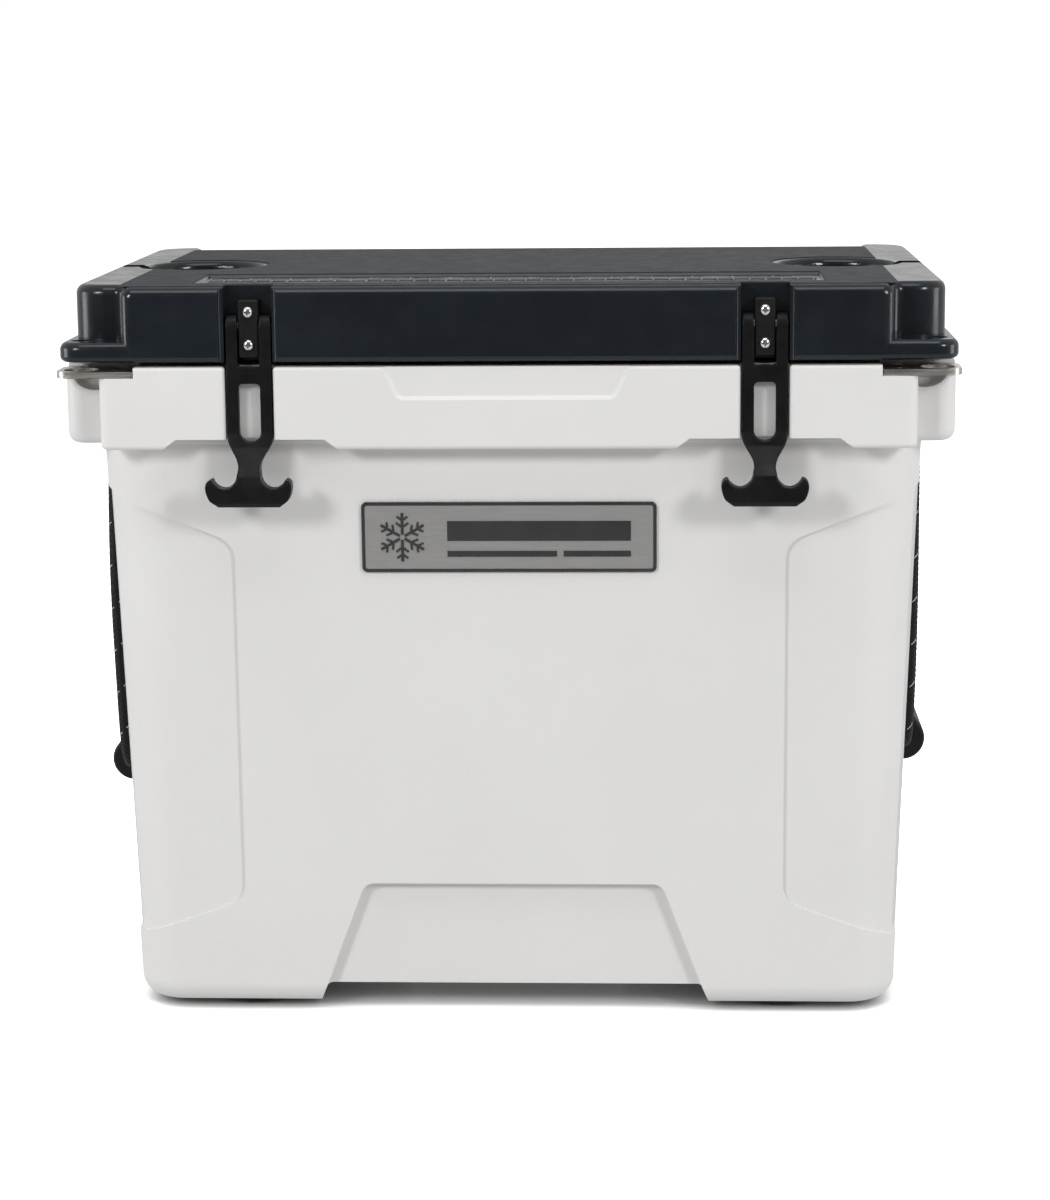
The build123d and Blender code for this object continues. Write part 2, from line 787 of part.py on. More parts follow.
def latch_part(middle):
    """Rubber T-latch: two ears, a strap with a window, and a T-handle with upturned tips."""
    window_low = 374.5
    window_high = 410.5
    with BuildPart() as latch:
        with BuildSketch(Plane.XZ.offset(150)) as front:
            with Locations((middle, 415.0)):
                Rectangle(latch_width, 78.0)
            for side in (-1, 1):
                with BuildLine():
                    Polyline((middle, 336.0), (middle + side * 19.0, 336.0), (middle + side * 24.0, 340.0))
                    Spline(
                        (middle + side * 24.0, 340.0),
                        (middle + side * 26.3, 345.5),
                        (middle + side * 25.6, 351.8),
                        (middle + side * 22.6, 353.0),
                    )
                    Spline(
                        (middle + side * 22.6, 353.0),
                        (middle + side * 19.6, 349.2),
                        (middle + side * 14.5, 347.6),
                        (middle + side * 9.6, 350.2),
                        (middle + side * 7.2, 356.0),
                    )
                    Spline(
                        (middle + side * 7.2, 356.0),
                        (middle + side * 7.6, 364.0),
                        (middle + side * 11.2, 370.0),
                        (middle + side * 14.0, 377.0),
                    )
                    Line((middle + side * 14.0, 377.0), (middle, 377.0))
                    Line((middle, 377.0), (middle, 336.0))
                make_face()
            with Locations((middle, latch_pin_z - 5)):
                Rectangle(bracket_width + 0.8, 2 * (latch_pin_z - 5 - rim_top), mode=Mode.SUBTRACT)
            with Locations((middle, (window_low + window_high) / 2)):
                SlotOverall(window_high - window_low, 13.3, rotation=90, mode=Mode.SUBTRACT)
            with Locations((middle, window_high - 6)):
                RectangleRounded(13.3, 12, 2.5, mode=Mode.SUBTRACT)
        extrude(amount=50)
        add(latch_side_form(middle), mode=Mode.INTERSECT)
        with BuildSketch(Plane.YZ.offset(middle - 40)):
            with Locations((latch_pin_y, latch_pin_z)):
                Circle(latch_pin_r + running_gap)
        extrude(amount=80, mode=Mode.SUBTRACT)
    return latch.part


def bracket_part(middle):
    """Latch bracket, screwed to the lid, with a cross hole for the pin."""
    with BuildPart() as bracket:
        with BuildSketch(Plane.XZ.offset(-lid_recess_y)) as front:
            with Locations((middle, 444.1)):
                RectangleRounded(bracket_width, 35.1, 1.5)
        extrude(amount=lid_recess_y - bracket_front_y)
        front_face = bracket.faces().sort_by(Axis.Y)[0]
        fillet(front_face.edges(), 1.0)
        with BuildSketch(Plane.YZ.offset(middle - 20)):
            with Locations((latch_pin_y, latch_pin_z)):
                Circle(latch_pin_r)
        extrude(amount=40, mode=Mode.SUBTRACT)
        with BuildSketch(Plane.XZ.offset(-lid_recess_y - 2)):
            with Locations(*[(middle, level) for level in screw_levels]):
                Circle(2.0)
        extrude(amount=30, mode=Mode.SUBTRACT)
    return bracket.part


def latch_pin_part(middle):
    """Pin through the bracket and both ears of the latch."""
    with BuildPart() as pin:
        with BuildSketch(Plane.YZ.offset(middle - latch_width / 2 + 0.3)):
            with Locations((latch_pin_y, latch_pin_z)):
                Circle(latch_pin_r)
        extrude(amount=latch_width - 0.6)
        chamfer(pin.edges(), 0.4)
    return pin.part


for side_name, side in sides.items():
    middle = side * latch_x
    save(latch_part(middle), f"latch_{side_name}")
    save(bracket_part(middle), f"latch_bracket_{side_name}")
    save(latch_pin_part(middle), f"latch_pin_{side_name}")
    with BuildPart() as screws:
        for level in screw_levels:
            seat = Plane((middle, bracket_front_y, level), x_dir=(1, 0, 0), z_dir=(0, -1, 0))
            add(bracket_screw.moved(seat.location))
    save(screws.part, f"latch_screws_{side_name}")


# ---------------------------------------------------------------- lock plates
def lock_plate_part(side):
    """Steel corner plate with the padlock hole, seated in the rim."""
    with BuildPart() as plate:
        with BuildSketch(Plane.XY.offset(plate_bottom)) as plan:
            with BuildLine():
                Polyline(
                    (side * plate_inner_x, -rim_half_depth),
                    (side * plate_outer_x, -rim_half_depth),
                    (side * plate_outer_x, plate_rear_y),
                    (side * plate_inner_x, plate_rear_y),
                    close=True,
                )
            make_face()
            outer = plan.vertices().sort_by(Axis.X)[-2:] if side > 0 else plan.vertices().sort_by(Axis.X)[:2]
            fillet(outer, 11)
            with Locations((side * lock_hole_x, lock_hole_y)):
                Circle(lock_hole_r, mode=Mode.SUBTRACT)
        extrude(amount=plate_thickness)
        with BuildSketch(Plane.XY.offset(plate_bottom + plate_thickness)):
            with Locations(*[(side * plate_screw_x, y) for y in plate_screw_ys]):
                Circle(4.0)
        extrude(amount=-2, taper=44.9, mode=Mode.SUBTRACT)
        with BuildSketch(Plane.XY.offset(plate_bottom)):
            with Locations(*[(side * plate_screw_x, y) for y in plate_screw_ys]):
                Circle(2.0)
        extrude(amount=plate_thickness, mode=Mode.SUBTRACT)
    return plate.part


for side_name, side in sides.items():
    plate_piece = lock_plate_part(side)
    save(plate_piece, f"lock_plate_{side_name}")
    with BuildPart() as screws:
        for y in plate_screw_ys:
            seat = Plane((side * plate_screw_x, y, plate_bottom + plate_thickness))
            add(plate_screw.moved(seat.location))
    save(screws.part, f"lock_plate_screws_{side_name}")


# ---------------------------------------------------------------- nameplate
tilt = math.radians(body_taper)
name_plane = Plane(
    (0, -wall_y(nameplate_z), nameplate_z),
    x_dir=(1, 0, 0),
    z_dir=(0, -math.cos(tilt), -math.sin(tilt)),
)

with BuildPart() as nameplate_bezel:
    with BuildSketch(name_plane):
        RectangleRounded(nameplate_width, nameplate_height, 3.2)
    extrude(amount=2.0)
    with BuildSketch(name_plane.offset(0.8)):
        RectangleRounded(
            nameplate_width - 2 * nameplate_border, nameplate_height - 2 * nameplate_border, 1.6
        )
    extrude(amount=5, mode=Mode.SUBTRACT)
    proud_edges = nameplate_bezel.edges().filter_by(
        lambda e: abs(name_plane.to_local_coords(e.center()).Z - 2.0) < 0.05
    )
    fillet(proud_edges, 0.5)
save(nameplate_bezel.part, "nameplate_bezel")

with BuildPart() as nameplate_face:
    with BuildSketch(name_plane.offset(0.8)):
        RectangleRounded(
            nameplate_width - 2 * nameplate_border, nameplate_height - 2 * nameplate_border, 1.6
        )
    extrude(amount=0.8)
save(nameplate_face.part, "nameplate_face")


# ---------------------------------------------------------------- feet
for depth_name, depth_side in (("front", -1), ("rear", 1)):
    for side_name, side in sides.items():
        with BuildPart() as foot:
            with BuildSketch():
                with Locations((side * foot_x, depth_side * foot_y)):
                    Circle(foot_r)
            extrude(amount=body_bottom + foot_seat_depth)
            fillet(foot.edges().sort_by(Axis.Z)[0], 1.5)
            with BuildSketch():
                with Locations((side * foot_x, depth_side * foot_y)):
                    Circle(7)
            extrude(amount=4.5, mode=Mode.SUBTRACT)
            with BuildSketch():
                with Locations((side * foot_x, depth_side * foot_y)):
                    Circle(2.0)
            extrude(amount=20, mode=Mode.SUBTRACT)
        save(foot.part, f"foot_{depth_name}_{side_name}")

with BuildPart() as foot_screws:
    for depth_side in (-1, 1):
        for side in (-1, 1):
            seat = Plane(
                (side * foot_x, depth_side * foot_y, 4.5), x_dir=(1, 0, 0), z_dir=(0, 0, -1)
            )
            add(foot_screw.moved(seat.location))
save(foot_screws.part, "foot_screws")


# ---------------------------------------------------------------- rope handles
def rope_route(side_name):
    """Points of one rope handle, from the front ear down, through the grip, and up."""
    side = sides[side_name]
    top = rope_x[side_name]
    out = rope_bulge[side_name]
    level = grip_level[side_name]
    return [
        (side * top, -rope_y, rope_pivot_z),
        (side * (top + 0.8 * out), -81.0, 320.0),
        (side * (top + out), -82.3, 264.0),
        (side * (top - 0.3), -83.0, level + 62.0),
        (side * (top - 1.2), -82.4, level + 29.0),
        (side * (top - 1.7), -79.6, level + 10.5),
        (side * (top - grip_inward), -70.0, level),
        (side * (top - grip_inward), 70.5, level),
        (side * (top - 1.6), 80.0, level + 10.0),
        (side * (top - 1.0), 82.8, level + 28.0),
        (side * (top - 0.1), 83.2, level + 60.0),
        (side * (top + out), 82.4, 262.0),
        (side * (top + 0.8 * out), 81.0, 321.0),
        (side * top, rope_y, rope_pivot_z),
    ]


def arc_radii(route):
    """For each inner point, 0.45 of the shorter run over the tangent of half the turn."""
    points = [Vector(p) for p in route]
    radii = []
    for before, here, after in zip(points, points[1:], points[2:]):
        first = here - before
        second = after - here
        half_turn = math.radians(first.get_angle(second)) / 2
        radii.append(0.45 * min(first.length, second.length) / math.tan(half_turn))
    return radii


def rope_part(side_name):
    """The rope as a plain round tube, with ball ends centred on the swing axis."""
    route = rope_route(side_name)
    radii = arc_radii(route)
    print(f"rope_{side_name} radii", [round(r, 1) for r in radii])
    with BuildPart() as rope:
        with BuildLine() as path:
            FilletPolyline(*route, radius=radii)
        start = Plane(route[0], z_dir=path.wire() % 0)
        with BuildSketch(start):
            Circle(rope_r)
        sweep(path=path.wire())
        print(f"rope_{side_name} length", round(path.wire().length, 1), "volume", round(rope.part.volume, 1))
        print("section times length", round(math.pi * rope_r**2 * path.wire().length, 1))
        with Locations(route[0], route[-1]):
            Sphere(rope_r)
    return rope.part


def grip_part(side_name, side):
    """Moulded grip: a teardrop bar along Y with the rope's bore through it."""
    level = grip_level[side_name]
    middle = side * (rope_x[side_name] - grip_inward)
    with BuildPart() as grip:
        with BuildSketch(Plane.XZ.offset(-grip_half_length)):
            with Locations((middle, level)):
                Circle(grip_r)
            with Locations((middle, level + 16.5)):
                Circle(4.8)
            make_hull()
        extrude(amount=2 * grip_half_length)
        fillet(grip.faces().sort_by(Axis.Y)[0].edges(), 2.5)
        fillet(grip.faces().sort_by(Axis.Y)[-1].edges(), 2.5)
        with BuildSketch(Plane.XZ.offset(-grip_half_length - 1)):
            with Locations((middle, level)):
                Circle(grip_bore_r)
        extrude(amount=2 * grip_half_length + 2, mode=Mode.SUBTRACT)
    return grip.part


def rope_knots_part(side_name):
    """The rope ends inside the ears: a stub up each hole and a stopper knot on top."""
    x = sides[side_name] * rope_x[side_name]
    with BuildPart() as knots:
        with BuildSketch(Plane.XY.offset(ear_bottom)):
            with Locations((x, -rope_y), (x, rope_y)):
                Circle(rope_r)
        extrude(amount=rim_top - 20 - ear_bottom)
        with Locations((x, -rope_y, rim_top - 13.4), (x, rope_y, rim_top - 13.4)):
            Sphere(10)
    return knots.part


for side_name, side in sides.items():
    save(rope_part(side_name), f"rope_{side_name}")
    save(grip_part(side_name, side), f"grip_{side_name}")
    save(rope_knots_part(side_name), f"rope_knots_{side_name}")
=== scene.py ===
"""Looks of the cooler chest: camera, studio light, materials, ropes, latches and small details.

Metres, in the frame of the CAD: the front with the latches faces -Y and +Z is up.
"""
import math

import bmesh
import bpy
from mathutils import Matrix, Vector


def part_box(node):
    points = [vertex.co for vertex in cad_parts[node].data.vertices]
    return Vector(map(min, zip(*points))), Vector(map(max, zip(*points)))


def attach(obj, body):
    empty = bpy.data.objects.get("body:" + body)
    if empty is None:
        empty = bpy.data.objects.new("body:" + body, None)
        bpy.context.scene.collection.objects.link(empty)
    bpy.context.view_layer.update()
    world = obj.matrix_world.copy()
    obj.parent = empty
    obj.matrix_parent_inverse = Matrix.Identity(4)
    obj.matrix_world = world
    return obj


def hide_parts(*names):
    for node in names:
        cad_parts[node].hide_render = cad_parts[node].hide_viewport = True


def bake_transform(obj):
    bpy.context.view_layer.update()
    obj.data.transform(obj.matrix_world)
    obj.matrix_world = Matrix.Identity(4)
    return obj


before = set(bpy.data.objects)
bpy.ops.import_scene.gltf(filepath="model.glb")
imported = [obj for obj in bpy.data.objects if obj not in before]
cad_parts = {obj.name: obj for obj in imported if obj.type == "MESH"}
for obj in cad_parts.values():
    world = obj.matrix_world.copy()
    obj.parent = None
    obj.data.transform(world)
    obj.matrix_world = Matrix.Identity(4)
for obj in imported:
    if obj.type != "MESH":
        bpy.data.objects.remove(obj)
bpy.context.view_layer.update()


# ---------------------------------------------------------------- camera
LENS = 90.0
CAMERA_PLACE = (0.0948, -2.0013, 0.6189)
CAMERA_RIGHT = (0.9990, 0.0445, -0.0088)
CAMERA_UP = (0.0004, 0.1849, 0.9828)
CAMERA_BACK = (0.0454, -0.9817, 0.1847)


def make_camera():
    """A long-lens view from the front, slightly from the right and looking down by about 11 degrees."""
    data = bpy.data.cameras.new("camera")
    data.lens = LENS
    data.sensor_width = 36.0
    camera = bpy.data.objects.new("camera", data)
    turn = Matrix((CAMERA_RIGHT, CAMERA_UP, CAMERA_BACK)).transposed()
    camera.matrix_world = Matrix.Translation(CAMERA_PLACE) @ turn.to_4x4()
    bpy.context.scene.collection.objects.link(camera)
    bpy.context.scene.camera = camera


# ---------------------------------------------------------------- studio
ROOM_FRONT = 0.13
ROOM_BACK = 0.68
RAMP_START = -0.80
RAMP_END = -0.05
PAPER_STRENGTH = 1.05
FLOOR_CORNERS = [(-9, -1.7, 0), (9, -1.7, 0), (9, 16, 0), (-9, 16, 0)]
FLOOR_GLOW = 0.46
PAPER_GAIN = 2.4
# reach of the painted contact shade on the floor
PAINTED_SHADE_REACH = 0.055


def area_light(name, place, target, size, power):
    """A soft rectangular lamp at place that points at target."""
    data = bpy.data.lights.new(name, "AREA")
    data.shape = "RECTANGLE"
    data.size, data.size_y = size
    data.energy = power
    lamp = bpy.data.objects.new(name, data)
    lamp.location = place
    lamp.rotation_mode = "QUATERNION"
    lamp.rotation_quaternion = (Vector(target) - Vector(place)).to_track_quat("-Z", "Y")
    bpy.context.scene.collection.objects.link(lamp)


def make_world():
    """White paper behind the object, and a dimmer room on the side that the camera looks from."""
    world = bpy.data.worlds.new("studio")
    world.use_nodes = True
    nodes, links = world.node_tree.nodes, world.node_tree.links
    out = nodes["World Output"]
    room = nodes["Background"]
    room.inputs["Color"].default_value = (1.0, 1.0, 1.0, 1.0)
    where = nodes.new("ShaderNodeTexCoord")
    split = nodes.new("ShaderNodeSeparateXYZ")
    links.new(where.outputs["Generated"], split.inputs[0])
    ramp = nodes.new("ShaderNodeMapRange")
    ramp.interpolation_type = "SMOOTHSTEP"
    ramp.inputs["From Min"].default_value = RAMP_START
    ramp.inputs["From Max"].default_value = RAMP_END
    ramp.inputs["To Min"].default_value = ROOM_FRONT
    ramp.inputs["To Max"].default_value = ROOM_BACK
    links.new(split.outputs["Y"], ramp.inputs["Value"])
    links.new(ramp.outputs["Result"], room.inputs["Strength"])
    paper = nodes.new("ShaderNodeBackground")
    paper.inputs["Color"].default_value = (1.0, 1.0, 1.0, 1.0)
    paper.inputs["Strength"].default_value = PAPER_STRENGTH
    seen = nodes.new("ShaderNodeLightPath")
    mix = nodes.new("ShaderNodeMixShader")
    links.new(seen.outputs["Is Camera Ray"], mix.inputs["Fac"])
    links.new(room.outputs["Background"], mix.inputs[1])
    links.new(paper.outputs["Background"], mix.inputs[2])
    links.new(mix.outputs["Shader"], out.inputs["Surface"])
    bpy.context.scene.world = world


def make_floor():
    """White paper floor, bright enough by itself to meet the white background without an edge."""
    mesh = bpy.data.meshes.new("floor")
    mesh.from_pydata(FLOOR_CORNERS, [], [(0, 1, 2, 3)])
    floor = bpy.data.objects.new("floor", mesh)
    bpy.context.scene.collection.objects.link(floor)
    material = bpy.data.materials.new("floor_paper")
    material.use_nodes = True
    shader = material.node_tree.nodes["Principled BSDF"]
    shader.inputs["Base Color"].default_value = (0.2, 0.2, 0.2, 1.0)
    shader.inputs["Roughness"].default_value = 0.9
    shader.inputs["Specular IOR Level"].default_value = 0.0
    shader.inputs["Emission Color"].default_value = (1.0, 1.0, 1.0, 1.0)
    shader.inputs["Emission Strength"].default_value = FLOOR_GLOW
    paper = material.node_tree.nodes.new("ShaderNodeBsdfDiffuse")
    # painted contact shade: ambient occlusion darkens the paper's colour under and close to the cooler,
    # for camera rays only
    painted_contact_shade = material.node_tree.nodes.new("ShaderNodeAmbientOcclusion")
    painted_contact_shade.samples = 24
    painted_contact_shade.inputs["Distance"].default_value = PAINTED_SHADE_REACH
    painted_contact_shade.inputs["Color"].default_value = (PAPER_GAIN, PAPER_GAIN, PAPER_GAIN, 1.0)
    seen = material.node_tree.nodes.new("ShaderNodeLightPath")
    mix = material.node_tree.nodes.new("ShaderNodeMixShader")
    links = material.node_tree.links
    links.new(painted_contact_shade.outputs["Color"], paper.inputs["Color"])
    links.new(seen.outputs["Is Camera Ray"], mix.inputs["Fac"])
    links.new(shader.outputs["BSDF"], mix.inputs[1])
    links.new(paper.outputs["BSDF"], mix.inputs[2])
    links.new(mix.outputs["Shader"], material.node_tree.nodes["Material Output"].inputs["Surface"])
    mesh.materials.append(material)


def make_studio():
    """Soft lamps above, behind, in front and at both sides, with the white room and floor."""
    bpy.context.scene.view_settings.view_transform = "Standard"
    make_world()
    make_floor()
    area_light("lamp_top", (0.0, -0.9, 2.3), (0, 0, 0.25), (1.6, 1.0), 12)
    area_light("lamp_left", (-1.5, -2.1, 1.35), (0, 0, 0.25), (0.55, 0.55), 24.5)
    area_light("lamp_right", (1.7, -2.0, 1.35), (0, 0, 0.25), (0.55, 0.55), 24.3)
    area_light("lamp_back", (0.3, 2.2, 1.6), (0, 0, 0.3), (1.6, 1.0), 6)
    area_light("lamp_side_left", (-2.3, -0.25, 0.5), (0, 0, 0.3), (0.8, 0.8), 9)
    area_light("lamp_side_right", (2.3, -0.25, 0.5), (0, 0, 0.3), (0.8, 0.8), 7)


# ---------------------------------------------------------------- materials
class Paint:
    """Builds one procedural material: colour patches, grain in the surface, and worn edges."""

    def __init__(self, name, colour, roughness, metallic=0.0):
        self.material = bpy.data.materials.new(name)
        self.material.use_nodes = True
        self.tree = self.material.node_tree
        self.shader = self.tree.nodes["Principled BSDF"]
        self.shader.inputs["Base Color"].default_value = (*colour, 1.0)
        self.shader.inputs["Roughness"].default_value = roughness
        self.shader.inputs["Metallic"].default_value = metallic
        self.place = self.node("ShaderNodeTexCoord").outputs["Object"]
        self.normal = None

    def node(self, kind, **settings):
        """A new node with these settings."""
        made = self.tree.nodes.new(kind)
        for key, value in settings.items():
            setattr(made, key, value)
        return made

    def link(self, source, target):
        """Joins two sockets."""
        self.tree.links.new(source, target)

    def stretched(self, stretch):
        """Object coordinates scaled by three factors."""
        mapping = self.node("ShaderNodeMapping")
        mapping.inputs["Scale"].default_value = stretch
        self.link(self.place, mapping.inputs["Vector"])
        return mapping.outputs["Vector"]

    def noise(self, scale, detail=3.0, rough=0.5, stretch=(1.0, 1.0, 1.0)):
        """Noise value over the surface, with scale in waves per metre."""
        made = self.node("ShaderNodeTexNoise")
        made.inputs["Scale"].default_value = scale
        made.inputs["Detail"].default_value = detail
        made.inputs["Roughness"].default_value = rough
        self.link(self.stretched(stretch), made.inputs["Vector"])
        return made.outputs["Fac"]

    def ranged(self, value, low, high, start=0.3, stop=0.7):
        """Maps start..stop of a value onto low..high, smoothly."""
        made = self.node("ShaderNodeMapRange", interpolation_type="SMOOTHSTEP")
        made.inputs["From Min"].default_value = start
        made.inputs["From Max"].default_value = stop
        made.inputs["To Min"].default_value = low
        made.inputs["To Max"].default_value = high
        self.link(value, made.inputs["Value"])
        return made.outputs["Result"]

    def mixed(self, share, under, over):
        """Mixes two colours, each a socket or three numbers, by a share."""
        made = self.node("ShaderNodeMix", data_type="RGBA")
        self.link(share, made.inputs["Factor"])
        for socket, value in ((made.inputs[6], under), (made.inputs[7], over)):
            if isinstance(value, tuple):
                socket.default_value = (*value, 1.0)
            else:
                self.link(value, socket)
        return made.outputs[2]

    def worn_edges(self, radius, start=0.02, stop=0.35):
        """A share that is high on sharp outer edges."""
        soft = self.node("ShaderNodeBevel", samples=4)
        soft.inputs["Radius"].default_value = radius
        flat = self.node("ShaderNodeNewGeometry")
        dot = self.node("ShaderNodeVectorMath", operation="DOT_PRODUCT")
        self.link(soft.outputs["Normal"], dot.inputs[0])
        self.link(flat.outputs["Normal"], dot.inputs[1])
        return self.ranged(dot.outputs["Value"], 1.0, 0.0, 1.0 - stop, 1.0 - start)

    def bump(self, height, strength, distance):
        """Adds one layer of relief on top of those before it."""
        made = self.node("ShaderNodeBump")
        made.inputs["Strength"].default_value = strength
        made.inputs["Distance"].default_value = distance
        self.link(height, made.inputs["Height"])
        if self.normal is not None:
            self.link(self.normal, made.inputs["Normal"])
        self.normal = made.outputs["Normal"]

    def finish(self, colour=None, roughness=None):
        """Joins colour, roughness and relief to the shader and returns the material."""
        if colour is not None:
            self.link(colour, self.shader.inputs["Base Color"])
        if roughness is not None:
            self.link(roughness, self.shader.inputs["Roughness"])
        if self.normal is not None:
            self.link(self.normal, self.shader.inputs["Normal"])
        return self.material


def shade(colour, factor):
    """The colour times a factor."""
    return tuple(part * factor for part in colour)


def moulded_white():
    """Rotomoulded white: faint mottling, small dark specks, faint grey scuffs and orange-peel skin."""
    base = (0.745, 0.738, 0.730)
    paint = Paint("white_shell", base, 0.42)
    paint.shader.inputs["Specular IOR Level"].default_value = 0.42
    patches = paint.ranged(paint.noise(9, 4), 0.0, 1.0)
    colour = paint.mixed(patches, shade(base, 0.985), shade(base, 1.01))
    specks = paint.ranged(paint.noise(620, 2), 0.0, 0.5, 0.70, 0.80)
    colour = paint.mixed(specks, colour, shade(base, 0.86))
    scuffs = paint.ranged(paint.noise(38, 5, 0.7), 0.0, 0.22, 0.52, 0.72)
    colour = paint.mixed(scuffs, colour, shade(base, 0.955))
    paint.bump(paint.noise(260, 2), 0.10, 0.0006)
    paint.bump(paint.noise(1500, 2), 0.09, 0.0002)
    return paint.finish(colour, paint.ranged(paint.noise(46, 4), 0.36, 0.50))


def moulded_slate():
    """Rotomoulded blue-grey: glossy skin, and a coarser matt panel in the middle of the top."""
    base = (0.0082, 0.0114, 0.0148)
    paint = Paint("slate_lid", base, 0.2)
    paint.shader.inputs["Specular IOR Level"].default_value = 0.42
    patches = paint.ranged(paint.noise(12, 4), 0.0, 1.0)
    colour = paint.mixed(patches, shade(base, 0.88), shade(base, 1.18))
    split = paint.node("ShaderNodeSeparateXYZ")
    paint.link(paint.place, split.inputs[0])
    aside = paint.node("ShaderNodeMath", operation="ABSOLUTE")
    paint.link(split.outputs["X"], aside.inputs[0])
    inside = paint.ranged(aside.outputs[0], 1.0, 0.0, PANEL_EDGE - 0.0006, PANEL_EDGE + 0.0006)
    on_top = paint.ranged(split.outputs["Z"], 0.0, 1.0, CROWN_LEVEL - 0.0006, CROWN_LEVEL + 0.0001)
    panel = paint.node("ShaderNodeMath", operation="MULTIPLY")
    paint.link(inside, panel.inputs[0])
    paint.link(on_top, panel.inputs[1])
    pores = paint.ranged(paint.noise(1150, 2), 0.0, 1.0, 0.35, 0.65)
    grain = paint.node("ShaderNodeMath", operation="MULTIPLY")
    paint.link(pores, grain.inputs[0])
    paint.link(panel.outputs[0], grain.inputs[1])
    colour = paint.mixed(grain.outputs[0], colour, (0.0125, 0.0170, 0.0205))
    edges = paint.worn_edges(0.0012)
    rubbed = paint.node("ShaderNodeMath", operation="MULTIPLY")
    paint.link(edges, rubbed.inputs[0])
    paint.link(paint.ranged(paint.noise(70, 4, 0.7), 0.0, 0.35, 0.35, 0.62), rubbed.inputs[1])
    colour = paint.mixed(rubbed.outputs[0], colour, (0.06, 0.07, 0.075))
    paint.bump(paint.noise(210, 2), 0.10, 0.0006)
    paint.bump(grain.outputs[0], 0.30, 0.00025)
    skin = paint.ranged(paint.noise(60, 4), 0.16, 0.25)
    mixer = paint.node("ShaderNodeMix", data_type="FLOAT")
    paint.link(panel.outputs[0], mixer.inputs[0])
    paint.link(skin, mixer.inputs[2])
    paint.link(paint.ranged(paint.noise(95, 3), 0.72, 0.82), mixer.inputs[3])
    return paint.finish(colour, mixer.outputs[0])


def rubber(name, base, roughness, grain=700, dust=0.25):
    """Moulded rubber or soft plastic: dusty patches and a fine matt grain."""
    paint = Paint(name, base, roughness)
    paint.shader.inputs["Specular IOR Level"].default_value = 0.20
    patches = paint.ranged(paint.noise(40, 5, 0.65), 0.0, 1.0, 0.35, 0.7)
    colour = paint.mixed(patches, shade(base, 0.85), shade(base, 1.0 + dust))
    edges = paint.worn_edges(0.0007)
    colour = paint.mixed(edges, colour, shade(base, 1.9))
    paint.bump(paint.noise(grain, 3), 0.16, 0.0003)
    paint.bump(paint.noise(grain * 3.1, 2), 0.10, 0.00012)
    return paint.finish(colour, paint.ranged(paint.noise(85, 4), roughness - 0.07, roughness + 0.09))


def brushed(name, base, roughness, stretch, scratch=0.12):
    """Bare metal with fine lines along one direction, and dull spots."""
    paint = Paint(name, base, roughness, 1.0)
    lines = paint.noise(520, 3, 0.6, stretch)
    patches = paint.ranged(paint.noise(55, 4), 0.0, 1.0)
    colour = paint.mixed(patches, shade(base, 0.86), shade(base, 1.05))
    paint.bump(lines, scratch, 0.0002)
    return paint.finish(colour, paint.ranged(lines, roughness - 0.07, roughness + 0.12))


def chrome():
    """Bright plated screws with small pits and a little grime."""
    base = (0.80, 0.79, 0.77)
    paint = Paint("chrome_screws", base, 0.14, 1.0)
    grime = paint.ranged(paint.noise(900, 3), 0.0, 0.55, 0.55, 0.75)
    colour = paint.mixed(grime, base, (0.30, 0.29, 0.27))
    paint.bump(paint.noise(2600, 2), 0.12, 0.0001)
    return paint.finish(colour, paint.ranged(paint.noise(700, 3), 0.10, 0.24))


def gloss_black():
    """Hard black plastic with a clear coat, for the nameplate's border and raised marks."""
    base = (0.010, 0.010, 0.011)
    paint = Paint("black_gloss", base, 0.18)
    paint.shader.inputs["Coat Weight"].default_value = 0.4
    paint.shader.inputs["Coat Roughness"].default_value = 0.08
    colour = paint.mixed(paint.ranged(paint.noise(60, 4), 0.0, 1.0), base, shade(base, 1.8))
    paint.bump(paint.noise(420, 2), 0.05, 0.0003)
    return paint.finish(colour, paint.ranged(paint.noise(120, 3), 0.14, 0.24))


def satin_plate():
    """Nameplate face: warm grey satin foil, finely brushed across."""
    base = (0.300, 0.296, 0.287)
    paint = Paint("nameplate_satin", base, 0.42, 0.25)
    lines = paint.noise(900, 3, 0.6, (0.06, 1.0, 2.4))
    colour = paint.mixed(paint.ranged(lines, 0.0, 1.0), shade(base, 0.93), shade(base, 1.06))
    paint.bump(lines, 0.10, 0.00015)
    return paint.finish(colour, paint.ranged(paint.noise(130, 4), 0.36, 0.50))


def yarn(name, base):
    """Twisted filaments of the rope's braid: fine slanted lines with a soft sheen."""
    paint = Paint(name, base, 0.62)
    paint.shader.inputs["Specular IOR Level"].default_value = 0.25
    paint.shader.inputs["Sheen Weight"].default_value = 0.05
    paint.shader.inputs["Sheen Roughness"].default_value = 0.5
    fibres = paint.noise(2600, 3, 0.6, (1.0, 1.0, 0.35))
    colour = paint.mixed(paint.ranged(fibres, 0.0, 1.0), shade(base, 0.7), shade(base, 1.35))
    paint.bump(fibres, 0.5, 0.00025)
    return paint.finish(colour, paint.ranged(paint.noise(400, 2), 0.54, 0.70))


def foam():
    """Rigid foam, seen only if a shell is taken away: small closed cells."""
    base = (0.62, 0.52, 0.30)
    paint = Paint("foam", base, 0.8)
    cells = paint.node("ShaderNodeTexVoronoi")
    cells.inputs["Scale"].default_value = 900
    paint.link(paint.place, cells.inputs["Vector"])
    colour = paint.mixed(cells.outputs["Distance"], shade(base, 0.8), shade(base, 1.1))
    paint.bump(cells.outputs["Distance"], 0.4, 0.0005)
    return paint.finish(colour, paint.ranged(paint.noise(90, 3), 0.75, 0.9))


PANEL_EDGE = 0.239
CROWN_LEVEL = 0.4700


def dress(node, material):
    """Gives a CAD node this material in every slot."""
    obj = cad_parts[node]
    if not obj.material_slots:
        obj.data.materials.append(material)
    for held in obj.material_slots:
        held.material = material


